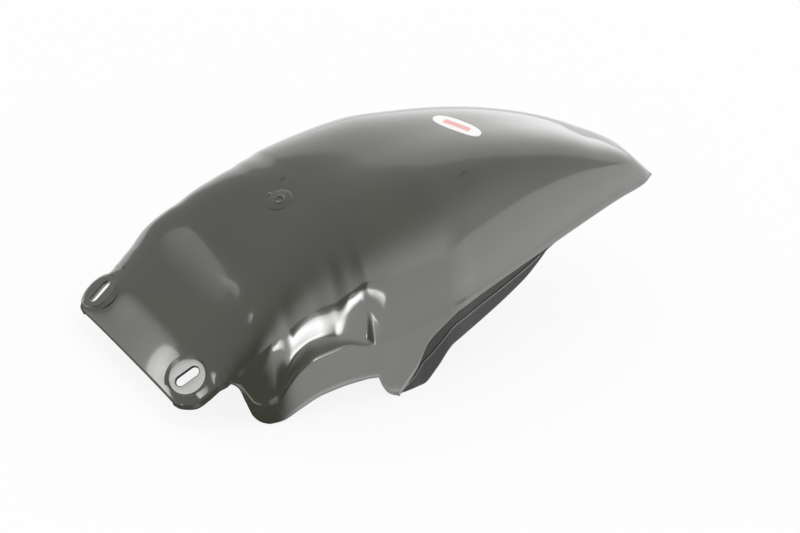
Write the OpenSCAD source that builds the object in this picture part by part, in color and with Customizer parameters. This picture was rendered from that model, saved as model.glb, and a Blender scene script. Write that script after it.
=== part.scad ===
// Rear mudguard of a motorcycle: one sheet of moulded plastic that hugs the rear tyre.
// Profiles are drawn in the plane of the wheel, with x rearward, z up and the wheel's
// axle at x = z = 0. The finished shell is then turned and set down on its own feet.

/* [Crown] */
// Radius of the crown about the wheel's axle
crown_r = 338; // [325:1:350]
// Where the tighter front curve takes over from the crown, ahead of the axle
front_curve_x = -107; // [-120:1:-95]
// Radius of the tighter front curve
front_curve_r = 240; // [225:1:260]
// Tail tip, behind the axle
tail_x = 269; // [262:1:272]
// Thickness of the sheet
sheet = 3; // [2.4:0.1:3.4]

/* [Front flange] */
// Front edge, ahead of the axle
front_x = -260; // [-264:1:-256]
// Height of the front edge above the axle
front_z = 217; // [214:1:220]
// Slope of the flange, in degrees
flange_slope = 31; // [28:1:34]
// Plan radius of the two front corners
corner_r = 16; // [10:1:18]
// How far the flange's sides sag below its middle
flange_sag = 9.5; // [6:0.5:11]

/* [Fixing pads] */
// Distance of both pads from the axle, forward
pad_x = -238.5; // [-241:0.5:-237]
// Left pad, from the middle plane
pad_left = 64; // [60:1:68]
// Right pad, from the middle plane
pad_right = 81; // [77:1:84]
// Sideways tilt of each pad, in degrees
pad_tilt = 17; // [14:1:20]
// Diameter of the flat seat
pad_d = 35; // [32:1:36]
// Diameter of the low step round the seat
pad_step_d = 43; // [40:1:44]
// Slot width
slot_w = 9; // [6.5:0.5:10]
// Slot length, end to end
slot_l = 23; // [18:1:26]

/* [Side walls] */
// Half width of the shell at its widest
side_w = 107; // [104:1:110]
// How far the lower strip is tucked in under the lip
tuck = 4; // [3:0.5:5]

/* [Moulding mark] */
// Outer diameter of the small raised ring on the crown
ring_d = 9.5; // [7:0.5:12]
// Diameter of the shallow disc that carries it
ring_disc_d = 23; // [18:1:26]

/* [Hidden] */
$fn = 64;
rest_pitch = -9.8;

// Crown profile
front_curve_z = sqrt(crown_r * crown_r - front_curve_x * front_curve_x);
curve_share = 1 - front_curve_r / crown_r;
curve_cx = front_curve_x * curve_share;
curve_cz = front_curve_z * curve_share;
valley_blend = 2.5;

// Where the flange ends and the side walls begin
wall_x = -216;
flange_top = 234;

// Side outlines, each a row of [x, value] points joined by a smooth curve.
// Foot of the arch: half width and height
foot_y = [[-244, 90], [-222, 91.5], [wall_x, 93], [-205, 97], [-195, 101], [-187, 104],
          [-180, 104], [-165, 102.5], [-155, 101], [-80, 101]];
foot_z = [[wall_x, flange_top], [-208, 229], [-202, 214.5], [-195, 201], [-187, 196.5],
          [-180, 204], [-172, 216], [-165, 230], [-157, 241.5], [-140, 250], [-113, 252],
          [-85, 241], [-40, 240]];
// Behind the ledge the arch is wider, and runs down to the tail
wide_y = [[-20, side_w + 0.5], [0, side_w - 0.5], [10, side_w - 2.5], [37, 95.5], [80, 81],
          [122, 66.5], [194, 41], [227, 27.5], [248, 18], [260, 11], [tail_x, 3.5]];
wide_z = [[-40, 240], [10, 236], [37, 233], [122, 230], [194, 225.5], [227, 221],
          [248, 214.5], [tail_x, 203.8]];
// End angle of the arch, and the power that makes it boxy or round
end_angle = [[front_x, 38], [-240, 38], [-205, 66], [-187, 78], [-150, 82], [200, 82],
             [tail_x, 60]];
front_power = [[front_x, 3], [-240, 3.2], [-222, 4], [-205, 4.8], [-180, 4.4],
               [-150, 4.2], [-120, 4], [-80, 3.6]];
rear_power = [[-90, 3.3], [-40, 3], [0, 2.85], [60, 2.75], [130, 2.75], [200, 2.7],
              [tail_x, 2.5]];
// Height of the sharp crease under the ledge
crease_z = [[-204, 214], [-195.5, 197], [-187, 189.5], [-181, 191.5], [-174, 203],
            [-165, 219], [-154, 230.5], [-135, 238.5], [-113, 239], [-85, 227.5]];
crease_y = [[-190, 107], [-183, 108], [-170, side_w + 2.5], [-155, side_w + 3],
            [-80, side_w + 2]];
// Height of the lip along the side, and of the trimmed edge below it
lip_z = [[-54, 161], [-36, 183.5], [-24, 208], [-9, 219], [10, 227], [37, 226], [122, 222.5],
         [194, 218], [227, 214], [248, 209.5], [tail_x, 203.3]];
edge_z = [[-222, 230.5], [wall_x, 231.5], [-208, 225], [-202, 209], [-195.5, 191.5],
          [-187, 183.2], [-182, 182], [-171, 181.5], [-153, 186.5], [-130, 192.5],
          [-112, 193], [-90, 191.5], [-74, 188.5], [-68.5, 176], [-62.5, 166],
          [-54, 160], [-48, 158.4], [-35, 156.2], [-22, 154], [-8, 168.5], [4, 184],
          [11, 187], [39, 188.5], [98, 201.5], [122, 216.5]];
lip_start = -54;
strip_end = 122;

// Stations along the shell, closer together where the side outline turns
stations = concat(
    [for (d = [0, 1.5, 4, 7.5, 12]) front_x + d],
    [for (i = [0 : 2]) -243 + 6.5 * i],
    [for (i = [0 : 1]) -224 + 4 * i],
    [for (i = [0 : 10]) wall_x + 4.6 * i],
    [for (i = [0 : 6]) -164 + 10.5 * i],
    [for (i = [0 : 5]) -90 + 5 * i],
    [for (i = [0 : 12]) -60 + 74 / 13 * i],
    [for (i = [0 : 7]) 14 + 114 / 8 * i],
    [for (i = [0 : 6]) 128 + 122 / 7 * i],
    [for (i = [0 : 4]) 250 + (tail_x - 250) / 4 * i]);

// Steps round one half of a section: arch, ledge, skirt and strip
arch_n = 8;
ledge_n = 2;
skirt_n = 2;
strip_n = 3;

function clamp(v) = max(0, min(1, v));
function ease(v) = let (u = clamp(v)) u * u * (3 - 2 * u);
function mix(a, b, u) = a + (b - a) * u;

// Smooth curve through hand-chosen points, with no overshoot between them
function rise(p, k) = (p[k + 1][1] - p[k][1]) / (p[k + 1][0] - p[k][0]);
function slope(p, k) =
    k == 0 ? rise(p, 0) :
    k == len(p) - 1 ? rise(p, k - 1) :
    let (a = rise(p, k - 1), b = rise(p, k))
    a * b <= 0 ? 0 : 2 * a * b / (a + b);
function between(p, i, x) =
    let (h = p[i + 1][0] - p[i][0], u = (x - p[i][0]) / h, v = ease(u))
    mix(p[i][1], p[i + 1][1], v)
    + h * u * (1 - u) * ((1 - u) * slope(p, i) - u * slope(p, i + 1));
function track(p, x) =
    x <= p[0][0] ? p[0][1] :
    x >= p[len(p) - 1][0] ? p[len(p) - 1][1] :
    between(p, max([for (k = [0 : len(p) - 2]) if (x >= p[k][0]) k]), x);

// Height of the crown: a flat flange, a soft valley, then two tangent arcs
function front_arc(x) =
    curve_cz + sqrt(max(front_curve_r * front_curve_r - pow(x - curve_cx, 2), 1));
function flange_line(x) = front_z + (x - front_x) * tan(flange_slope);
function crown_z(x) =
    x > front_curve_x ? sqrt(crown_r * crown_r - x * x) :
    let (a = front_arc(x), b = flange_line(x))
    (a + b) / 2 + sqrt(pow((a - b) / 2, 2) + valley_blend * valley_blend);
function crown_slope(x) = (crown_z(x + 0.5) - crown_z(x - 0.5));

// One quarter of a rounded arch, from the crown to [w, zf]
function quarter(w, zf, zc, angle, power, f) =
    let (q = 2 / power)
    [f > 0 ? w * pow(sin(angle * f) / sin(angle), q) : 0,
     zc - (zc - zf) * (1 - pow(cos(angle * f), q)) / (1 - pow(cos(angle), q))];

// Sag of the flange towards its sides
function corner_cut(x) =
    let (a = corner_r - (x - front_x))
    a <= 0 ? 0 : corner_r - sqrt(max(corner_r * corner_r - a * a, 0));
function side_drop(x) =
    x < wall_x - 12 ? mix(2.5, flange_sag, ease((x - front_x) / 20)) :
    mix(flange_sag, crown_z(wall_x) - flange_top, ease((x - wall_x + 12) / 12));
function front_foot(x) =
    let (y = track(foot_y, x) - corner_cut(x))
    x < wall_x ? [y, crown_z(x) - side_drop(x) * min(1, pow(y / 90, 3))] :
    [y, track(foot_z, x)];

// The arch: narrow ahead of the side wall's soft upright edge, wide behind it
function arch(x, f) =
    let (zc = crown_z(x), foot = front_foot(x), angle = track(end_angle, x),
         near = quarter(foot[0], foot[1], zc, angle, track(front_power, x), f))
    x < -112 ? near :
    let (far = quarter(track(wide_y, x), track(wide_z, x), zc, angle,
                       track(rear_power, x), f),
         lean = mix(-86, -71, clamp((near[1] - 225) / 60)),
         width = mix(12, 50, ease((near[1] - 250) / 60)),
         u = ease((x - lean) / width + 0.5))
    [mix(near[0], far[0], u), mix(near[1], far[1], u)];

// Crease, lip and trimmed edge at station x
function rim(x, foot) =
    let (d = mix(2.4, 3.6, ease((x - front_x) / 20)))
    [[foot[0] + 0.6, foot[1] - 0.3 * d], [foot[0] + 1, foot[1] - 0.6 * d],
     [foot[0] + 1.3, foot[1] - d]];
function wall(x, foot) =
    let (low = track(edge_z, x),
         half_way = mix(foot[1], low, 0.45),
         cz = x < -80 ? max(mix(half_way, track(crease_z, x), ease((x - wall_x) / 14)),
                            mix(low, foot[1], 0.35))
                      : max(foot[1] - mix(14, 2.5, ease((x + 60) / 110)),
                            mix(track(lip_z, x), foot[1], 0.6)),
         cy = x < -190 ? foot[0] + mix(0.8, 3, ease((x - wall_x) / 25)) :
              x < -80 ? mix(foot[0] + 3, track(crease_y, x), ease((x + 190) / 8)) :
              foot[0] + mix(2, 0.5, ease((x + 20) / 80)),
         lip_share = mix(0.5, 0.92, ease((x - wall_x) / 14)),
         lz = x > lip_start ? track(lip_z, x) : mix(cz, low, lip_share),
         ly = cy + mix(1, 0.4, ease((x + 20) / 60)),
         ez = x > strip_end ? lz - 2 : min(low, lz - 1.2),
         h = lz - ez)
    [[cy, cz], [ly, lz], [ly - mix(0.1, tuck + h * 0.12, ease(h / 10)), ez]];
function lines(x, foot) = x < wall_x ? rim(x, foot) : wall(x, foot);

// Outer half section as [y, z] points from the crown to the trimmed edge
function half(x) =
    let (foot = arch(x, 1), l = lines(x, foot), c = l[0], p = l[1], e = l[2],
         hollow = x < -80 ? clamp((foot[1] - c[1] - 2) / 8) : 0,
         h = p[1] - e[1], j = ease(h / 10),
         t = [p[0] - mix((p[0] - e[0]) / strip_n, tuck, j), p[1] - mix(h / strip_n, 1, j)])
    concat(
        [for (i = [0 : arch_n]) arch(x, i / arch_n)],
        [for (i = [1 : ledge_n]) let (u = i / ledge_n)
            [mix(foot[0], c[0], mix(u, u * u, hollow)), mix(foot[1], c[1], u)]],
        [for (i = [1 : skirt_n]) let (u = i / skirt_n) mix(c, p, u)],
        [for (i = [1 : strip_n]) mix(t, e, (i - 1) / (strip_n - 1))]);
half_n = arch_n + ledge_n + skirt_n + strip_n;

// Way through the sheet at point i of a half section: square to the crown at the
// top, level and sideways in the walls, and lifted where the strip steps inward
function lean_of(h, i) =
    let (a = h[max(i - 1, 0)], b = h[min(i + 1, arch_n)])
    atan2(a[1] - b[1], b[0] - a[0]);
function inward(x, h, i) =
    let (s = crown_slope(x), n = sqrt(1 + s * s),
         t = mix(sheet, sheet / 2, ease((x - 250) / (tail_x - 250))),
         foot_lean = lean_of(h, arch_n),
         lean = i <= arch_n ? lean_of(h, i) :
                mix(foot_lean, 90, ease((x - wall_x - 2) / 12)),
         lip_i = arch_n + ledge_n + skirt_n,
         step = ease((h[lip_i][1] - h[half_n][1]) / 10)
                * (i > lip_i + 1 ? 0 : 0.85 * clamp((i - lip_i + skirt_n) / skirt_n)))
    t * [s / n * cos(lean), -sin(lean), step - cos(lean) / n];

function outer_ring(x, h) = concat(
    [for (i = [half_n : -1 : 1]) [x, h[i][0], h[i][1]]],
    [for (i = [0 : half_n]) [x, -h[i][0], h[i][1]]]);
function inner_ring(x, h) = concat(
    [for (i = [half_n : -1 : 1]) let (d = inward(x, h, i))
        [x + d[0], h[i][0] + d[1], h[i][1] + d[2]]],
    [for (i = [0 : half_n]) let (d = inward(x, h, i))
        [x + d[0], i == 0 ? 0 : -h[i][0] - d[1], h[i][1] + d[2]]]);

rows = len(stations);
cols = 2 * half_n + 1;
halves = [for (x = stations) half(x)];
outer_points = [for (k = [0 : rows - 1]) each outer_ring(stations[k], halves[k])];
inner_points = [for (k = [0 : rows - 1]) each inner_ring(stations[k], halves[k])];
skin = rows * cols;
function at(k, i) = k * cols + i;
shell_faces = concat(
    [for (k = [0 : rows - 2], i = [0 : cols - 2])
        each [[at(k, i), at(k + 1, i + 1), at(k, i + 1)],
              [at(k, i), at(k + 1, i), at(k + 1, i + 1)],
              [skin + at(k, i), skin + at(k, i + 1), skin + at(k + 1, i + 1)],
              [skin + at(k, i), skin + at(k + 1, i + 1), skin + at(k + 1, i)]]],
    [for (k = [0 : rows - 2])
        each [[at(k, 0), skin + at(k + 1, 0), at(k + 1, 0)],
              [at(k, 0), skin + at(k, 0), skin + at(k + 1, 0)],
              [at(k, cols - 1), at(k + 1, cols - 1), skin + at(k + 1, cols - 1)],
              [at(k, cols - 1), skin + at(k + 1, cols - 1), skin + at(k, cols - 1)]]],
    [for (i = [0 : cols - 2])
        each [[at(0, i), skin + at(0, i + 1), skin + at(0, i)],
              [at(0, i), at(0, i + 1), skin + at(0, i + 1)],
              [at(rows - 1, i), skin + at(rows - 1, i), skin + at(rows - 1, i + 1)],
              [at(rows - 1, i), skin + at(rows - 1, i + 1), at(rows - 1, i + 1)]]]);

// Where the shell comes to stand, turned by rest_pitch about the axle
function turned(p) = [p[0] * cos(rest_pitch) + p[2] * sin(rest_pitch), p[1],
                      p[2] * cos(rest_pitch) - p[0] * sin(rest_pitch)];
turned_points = [for (p = concat(outer_points, inner_points)) turned(p)];
low_x = min([for (p = turned_points) p[0]]);
high_x = max([for (p = turned_points) p[0]]);
low_z = min([for (p = turned_points) p[2]]);

module set_down() {
    translate([-(low_x + high_x) / 2, 0, -low_z]) rotate([0, rest_pitch, 0]) children();
}

// Moulded sheet with its front flange, ledges, skirts and tucked-in strips
module sheet_shell() {
    polyhedron(points = concat(outer_points, inner_points), faces = shell_faces, convexity = 6);
}

// Places its children on a pad: z is square to the seat and x runs fore and aft
function pad_seat_z(y) = crown_z(pad_x) - flange_sag * pow(y / 90, 3);
module at_pad(side, y) {
    translate([pad_x, side * y, pad_seat_z(y)])
        rotate([-side * pad_tilt, 0, 0]) rotate([0, -flange_slope, 0]) children();
}

// Flat round seat standing on a wider low step
seat_up = 2;
step_up = 0.9;
pad_down = 4.6;
step_lift = 1.2;
module pad() {
    translate([0, 0, -pad_down]) cylinder(d = pad_d, h = pad_down + seat_up);
    translate([0, 0, step_lift - pad_down])
        cylinder(d = pad_step_d, h = pad_down - step_lift + step_up);
}

// Room over the seat, so that it is flat right across
module seat_room() {
    translate([0, 0, seat_up]) cylinder(d = pad_d, h = pad_down);
}

module slot() {
    run = slot_l - slot_w;
    for (s = [-1, 1]) translate([s * run / 2, 0, -15]) cylinder(d = slot_w, h = 30);
    translate([-run / 2, -slot_w / 2, -15]) cube([run, slot_w, 30]);
}

// Small ring on a shallow disc, left by the mould on the crown
disc_up = 0.5;
ring_up = 1.3;
ring_wall = 1.5;
module mould_mark() {
    translate([front_curve_x, 0, front_curve_z])
        rotate([0, asin(front_curve_x / crown_r), 0]) {
            translate([0, 0, -2]) cylinder(d = ring_disc_d, h = 2 + disc_up);
            difference() {
                translate([0, 0, -2]) cylinder(d = ring_d, h = 2 + ring_up);
                cylinder(d = ring_d - 2 * ring_wall, h = 5);
            }
        }
}

module fender() {
    color([0.15, 0.15, 0.14]) set_down() difference() {
        union() {
            sheet_shell();
            at_pad(-1, pad_left) pad();
            at_pad(1, pad_right) pad();
            mould_mark();
        }
        at_pad(-1, pad_left) { slot(); seat_room(); }
        at_pad(1, pad_right) { slot(); seat_room(); }
    }
}

fender();
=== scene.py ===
# %% [markdown]
# # A motorcycle's rear fender, dressed for its photograph
#
# The part is one sheet of glossy black plastic that hugs the rear tyre. The CAD model
# gives its frame: where it stands, how big it is and which body it belongs to. This
# script makes a finer sheet from the same outlines, because a glossy black surface
# shows every flat facet as a broken reflection, and then lights it like a studio.

# %% Load the frame
import math
import bpy
import bmesh
import numpy as np
from mathutils import Matrix, Vector


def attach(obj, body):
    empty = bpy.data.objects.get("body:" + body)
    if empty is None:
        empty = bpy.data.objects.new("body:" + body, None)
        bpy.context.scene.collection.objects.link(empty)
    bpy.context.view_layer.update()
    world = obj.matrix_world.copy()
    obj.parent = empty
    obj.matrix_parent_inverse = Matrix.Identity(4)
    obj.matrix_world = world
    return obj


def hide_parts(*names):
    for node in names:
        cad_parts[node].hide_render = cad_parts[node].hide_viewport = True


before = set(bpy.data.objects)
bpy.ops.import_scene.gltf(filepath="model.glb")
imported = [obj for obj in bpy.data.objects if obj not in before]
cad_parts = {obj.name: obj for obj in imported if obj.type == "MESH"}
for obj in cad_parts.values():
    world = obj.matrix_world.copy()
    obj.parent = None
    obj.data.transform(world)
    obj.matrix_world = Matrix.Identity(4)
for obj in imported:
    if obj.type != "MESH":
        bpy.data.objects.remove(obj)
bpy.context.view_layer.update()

MM = 0.001

# %% [markdown]
# ## The outlines of the sheet
#
# A moulded sheet is easiest to describe by how its cross-section changes from front to
# tail. Each outline below is a short list of [x, value] points, measured in millimetres
# from the wheel's axle with x rearward and z up. They are the outlines of the CAD model,
# corrected by up to 8 mm where the photograph asked for it, so the fine sheet follows the
# CAD part. A free-form sculpt would look as good, but it would drift away from the real
# dimensions.

# %% Main sizes, in millimetres
CROWN_R = 341
FRONT_CURVE_X = -107
FRONT_CURVE_R = 240
FRONT_X, FRONT_Z = -260, 217
TAIL_X = 270
TAIL_LIFT = 4
SHEET = 3
FLANGE_SLOPE = 31
CORNER_R = 16
FLANGE_SAG = 9.5
WALL_X, FLANGE_TOP = -216, 234
SIDE_W = 107
TUCK = 4
LIP_START, STRIP_END = -54, 134
REST_PITCH = -9.8
print("crown radius %g mm, tail at x = %g mm" % (CROWN_R, TAIL_X))

# %% Side outlines
FOOT_Y = [[-244, 90], [-225, 93], [WALL_X, 95], [-205, 98.5], [-195, 101], [-187, 102],
          [-165, 101.5], [-155, 101], [-80, 101]]
FOOT_Z = [[WALL_X, FLANGE_TOP], [-208, 236], [-200, 235], [-190, 237], [-175, 244],
          [-157, 249], [-140, 252], [-128, 254.5], [-113, 261], [-98, 267], [-85, 268],
          [-50, 268]]
WIDE_Y = [[-20, SIDE_W + 0.5], [0, SIDE_W - 0.5], [10, SIDE_W - 2.5], [37, 95.5], [80, 81],
          [122, 66.5], [194, 41], [227, 28.5], [248, 20], [260, 14.5], [TAIL_X, 7]]
WIDE_Z = [[-40, 240], [10, 236], [37, 233], [122, 230], [194, 225.5], [227, 221],
          [248, 214.5], [TAIL_X, 206.9]]
END_ANGLE = [[FRONT_X, 38], [-240, 38], [-205, 70], [-187, 80], [-170, 72], [-155, 60],
             [-110, 60], [-95, 72], [-78, 82], [200, 82], [TAIL_X, 60]]
FRONT_POWER = [[FRONT_X, 3], [-240, 3.2], [-222, 3.7], [-205, 4.3], [-180, 5],
               [-150, 5.5], [-125, 4.8], [-105, 3.9], [-82, 3], [-60, 3]]
REAR_POWER = [[-90, 3.4], [-40, 3.05], [0, 2.9], [60, 2.8], [130, 2.8], [200, 3],
              [TAIL_X, 3.4]]
CREASE_Z = [[-204, 214], [-195.5, 197], [-187, 189.5], [-181, 191.5], [-174, 203],
            [-165, 219], [-154, 230.5], [-135, 238.5], [-113, 239], [-85, 227.5]]
CREASE_Y = [[-190, 107], [-183, 108], [-170, SIDE_W + 2.5], [-155, SIDE_W + 3],
            [-80, SIDE_W + 2]]
LIP_Z = [[-54, 161], [-36, 183.5], [-24, 208], [-9, 219], [10, 227], [37, 226],
         [122, 222.5], [194, 218], [227, 214], [248, 209.5], [TAIL_X, 206.2]]
EDGE_Z = [[-222, 230.5], [WALL_X, 231.5], [-208, 225], [-202, 209], [-195.5, 191.5],
          [-187, 183.2], [-182, 182], [-171, 181.5], [-153, 186.5], [-130, 192.5],
          [-112, 193], [-90, 191.5], [-74, 188.5], [-68.5, 176], [-62.5, 166],
          [-54, 160], [-48, 158.4], [-35, 156.2], [-22, 154], [-8, 166], [4, 180.5],
          [11, 184], [39, 186], [98, 197], [122, 209], [STRIP_END, 219.5]]
print("points of the trimmed edge:", len(EDGE_Z))


# %% Smooth curves through the outline points
def mix(a, b, u):
    return a + (b - a) * u


def ease(v):
    u = np.clip(v, 0, 1)
    return u * u * (3 - 2 * u)


def track(points, x):
    """A curve through the points that never overshoots between two of them."""
    px, py = np.array(points, float).T
    rise = np.diff(py) / np.diff(px)
    a, b = rise[:-1], rise[1:]
    same = a * b > 0
    inner = np.where(same, 2 * a * b / np.where(same, a + b, 1), 0)
    slope = np.concatenate([rise[:1], inner, rise[-1:]])
    i = np.clip(np.searchsorted(px, x, side="right") - 1, 0, len(px) - 2)
    h = px[i + 1] - px[i]
    u = np.clip((x - px[i]) / h, 0, 1)
    return (mix(py[i], py[i + 1], u * u * (3 - 2 * u))
            + h * u * (1 - u) * ((1 - u) * slope[i] - u * slope[i + 1]))


print("half width at the ledge:", track(CREASE_Y, -170.0), "mm")

# %% [markdown]
# ## The crown
#
# Seen from the side, the top of the fender is a flat flange, a soft valley and two arcs
# that meet without a kink: a tight one in front and a wide one about the wheel's axle. The
# valley comes from taking the higher of flange and arc with a small rounding between them,
# the way a fillet joins two faces.

# %% Height of the crown
VALLEY_BLEND = 2.5
VALLEY_END, VALLEY_FADE = -120, 50
LIFT_START, LIFT_RUN, LIFT_END, LIFT_FADE = 200, 50, 240, 30
front_curve_z = math.sqrt(CROWN_R ** 2 - FRONT_CURVE_X ** 2)
curve_share = 1 - FRONT_CURVE_R / CROWN_R
curve_cx, curve_cz = FRONT_CURVE_X * curve_share, front_curve_z * curve_share


def crown_z(x):
    x = np.asarray(x, float)
    arc = curve_cz + np.sqrt(np.maximum(FRONT_CURVE_R ** 2 - (x - curve_cx) ** 2, 1))
    flange = FRONT_Z + (x - FRONT_X) * math.tan(math.radians(FLANGE_SLOPE))
    round_off = VALLEY_BLEND * ease((VALLEY_END - x) / VALLEY_FADE)
    front = (arc + flange) / 2 + np.sqrt(((arc - flange) / 2) ** 2 + round_off ** 2)
    lift = ease((x - LIFT_START) / LIFT_RUN) * (1 - ease((x - LIFT_END) / LIFT_FADE))
    rear = np.sqrt(np.maximum(CROWN_R ** 2 - x * x, 1)) + TAIL_LIFT * lift
    return np.where(x > FRONT_CURVE_X, rear, front)


def crown_slope(x):
    return crown_z(x + 0.5) - crown_z(x - 0.5)


print("crown above the axle: %.0f mm" % crown_z(0))

# %% [markdown]
# ## The section
#
# Half a section runs from the crown down to the trimmed edge: a boxy arch, a hollow
# ledge, a near-upright skirt, and behind the step a strip that is tucked in below the
# lip. Each band gets its own number of columns, so the sharp crease and the lip always
# fall on a column and stay crisp.

# %% Columns, a quarter arch and the front's foot
ARCH_N, LEDGE_N, SKIRT_N, STRIP_N = 30, 16, 8, 12
LIP_COLUMN = ARCH_N + LEDGE_N + SKIRT_N
FLANGE_LIP, FLANGE_LIP_RUN = 2.5, 20
SAG_HALF_WIDTH = 90
FLANGE_BLEND = 12


def quarter(w, zf, zc, angle, power, f):
    q = 2 / power
    a = np.radians(angle)
    y = w * (np.sin(a * f) / np.sin(a)) ** q
    z = zc - (zc - zf) * (1 - np.cos(a * f) ** q) / (1 - np.cos(a) ** q)
    return y, z


def front_foot(x):
    a = CORNER_R - (x - FRONT_X)
    cut = np.where(a <= 0, 0, CORNER_R - np.sqrt(np.maximum(CORNER_R ** 2 - a * a, 0)))
    front_drop = mix(FLANGE_LIP, FLANGE_SAG, ease((x - FRONT_X) / FLANGE_LIP_RUN))
    rear_drop = mix(FLANGE_SAG, crown_z(WALL_X) - FLANGE_TOP,
                    ease((x - WALL_X + FLANGE_BLEND) / FLANGE_BLEND))
    drop = np.where(x < WALL_X - FLANGE_BLEND, front_drop, rear_drop)
    y = track(FOOT_Y, x) - cut
    flat = crown_z(x) - drop * np.minimum(1, (y / SAG_HALF_WIDTH) ** 3)
    return y, np.where(x < WALL_X, flat, track(FOOT_Z, x))


print("flange foot: %.1f mm out, %.1f mm up" % tuple(float(v) for v in front_foot(-240.0)))

# %% The near part and the wide part
STEP_LOW, STEP_HIGH = -86, -71
STEP_SHARP, STEP_SOFT = 12, 50
STEP_LOW_Z, STEP_SOFT_Z, STEP_Z_RUN = 225, 250, 60


def arch(x, f):
    """The near part ahead of the scoop's rear step, the wide part behind it."""
    zc, angle = crown_z(x), track(END_ANGLE, x)
    foot_y, foot_z = front_foot(x)
    near_y, near_z = quarter(foot_y, foot_z, zc, angle, track(FRONT_POWER, x), f)
    far_y, far_z = quarter(track(WIDE_Y, x), track(WIDE_Z, x), zc, angle,
                           track(REAR_POWER, x), f)
    lean = mix(STEP_LOW, STEP_HIGH, np.clip((near_z - STEP_LOW_Z) / STEP_Z_RUN, 0, 1))
    width = mix(STEP_SHARP, STEP_SOFT, ease((near_z - STEP_SOFT_Z) / STEP_Z_RUN))
    u = ease((x - lean) / width + 0.5)
    return mix(near_y, far_y, u), mix(near_z, far_z, u)


def surface_height(x, y):
    """The height of the outside at one point, for what is laid on it."""
    row_y, row_z = arch(np.array([[float(x)]]), np.linspace(0, 1, 400)[None, :])
    return float(np.interp(abs(y), row_y[0], row_z[0]))


print("top of the arch at x = 0: %.1f mm" % surface_height(0, 0))


# %% The crease, the lip and the trimmed edge
SCOOP_END, SCOOP_FADE = -84, 7
FRONT_LOBE_X = -190
EDGE_LIFT = 0.7
FLANGE_RIM_DROP = (2.4, 3.6)
FLANGE_RIM = [(0.6, 0.3), (1, 0.6), (1.3, 1)]
WALL_RUN = 14
LOBE_SHARE, CREASE_FLOOR, REAR_FLOOR = 0.45, 0.35, 0.6
REAR_LEDGE, REAR_LEDGE_FROM, REAR_LEDGE_RUN = (14, 2.5), -60, 110
LOBE_OUT, LOBE_RUN = (0.8, 3), 25
SCOOP_OUT, SCOOP_OUT_RUN = 3, 8
REAR_OUT, REAR_OUT_RUN = (2, 0.5), 80
LIP_OUT, LIP_OUT_RUN, OUT_FROM = (1, 0.4), 60, -20
SKIRT_SHARE = (0.5, 0.92)
TAIL_WALL, LEAST_WALL = 2, 1.2
FULL_DROP = 10
NO_TUCK, TUCK_PER_MM = 0.1, 0.12
RIM_END, RIM_END_RUN = WALL_X - 3, 6


def crease_lip_edge(x, foot_y, foot_z):
    """Crease, lip and trimmed edge, each as y and z."""
    drop = mix(*FLANGE_RIM_DROP, ease((x - FRONT_X) / FLANGE_LIP_RUN))
    rim = [(foot_y + out, foot_z - share * drop) for out, share in FLANGE_RIM]
    low = track(EDGE_Z, x)
    half_way = mix(foot_z, low, LOBE_SHARE)
    scoop_z = np.maximum(mix(half_way, track(CREASE_Z, x), ease((x - WALL_X) / WALL_RUN)),
                         mix(low, foot_z, CREASE_FLOOR))
    lip = track(LIP_Z, x)
    wide_z = track(WIDE_Z, x)
    ledge = mix(*REAR_LEDGE, ease((x - REAR_LEDGE_FROM) / REAR_LEDGE_RUN))
    rear_z = np.maximum(wide_z - ledge, mix(lip, wide_z, REAR_FLOOR))
    behind = ease((x - SCOOP_END) / SCOOP_FADE)
    cz = mix(scoop_z, rear_z, behind)
    lobe_y = foot_y + mix(*LOBE_OUT, ease((x - WALL_X) / LOBE_RUN))
    scoop_y = mix(foot_y + SCOOP_OUT, track(CREASE_Y, x),
                  ease((x - FRONT_LOBE_X) / SCOOP_OUT_RUN))
    rear_y = track(WIDE_Y, x) + mix(*REAR_OUT, ease((x - OUT_FROM) / REAR_OUT_RUN))
    cy = np.where(x < FRONT_LOBE_X, lobe_y, mix(scoop_y, rear_y, behind))
    skirt = mix(*SKIRT_SHARE, ease((x - WALL_X) / WALL_RUN))
    lz = np.where(x > LIP_START, lip, mix(cz, low, skirt))
    ly = cy + mix(*LIP_OUT, ease((x - OUT_FROM) / LIP_OUT_RUN))
    ez = np.where(x > STRIP_END, lz - TAIL_WALL, np.minimum(low, lz - LEAST_WALL))
    h = lz - ez
    ey = ly - mix(NO_TUCK, TUCK + h * TUCK_PER_MM, ease(h / FULL_DROP))
    wall = [(cy, cz), (ly, lz), (ey, ez)]
    u = ease((x - RIM_END) / RIM_END_RUN)
    return [(mix(r[0], w[0], u), mix(r[1], w[1], u)) for r, w in zip(rim, wall)]


print("rows of the flange's rim:", len(FLANGE_RIM))

# %% The ledge, the skirt and the strip
LEDGE_TILT = 1.2
FOOT_CROWDING, LEDGE_CROWDING = 1.6, 1.7
HOLLOW_FROM, HOLLOW_RUN = 2, 8
LEAST_WIDE, LEAST_FALL = 0.1, 0.01
STEEPEST_START = 0.6
BEND_LIMITS = (2, 9)
TUCKED_DROP = 1


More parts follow.
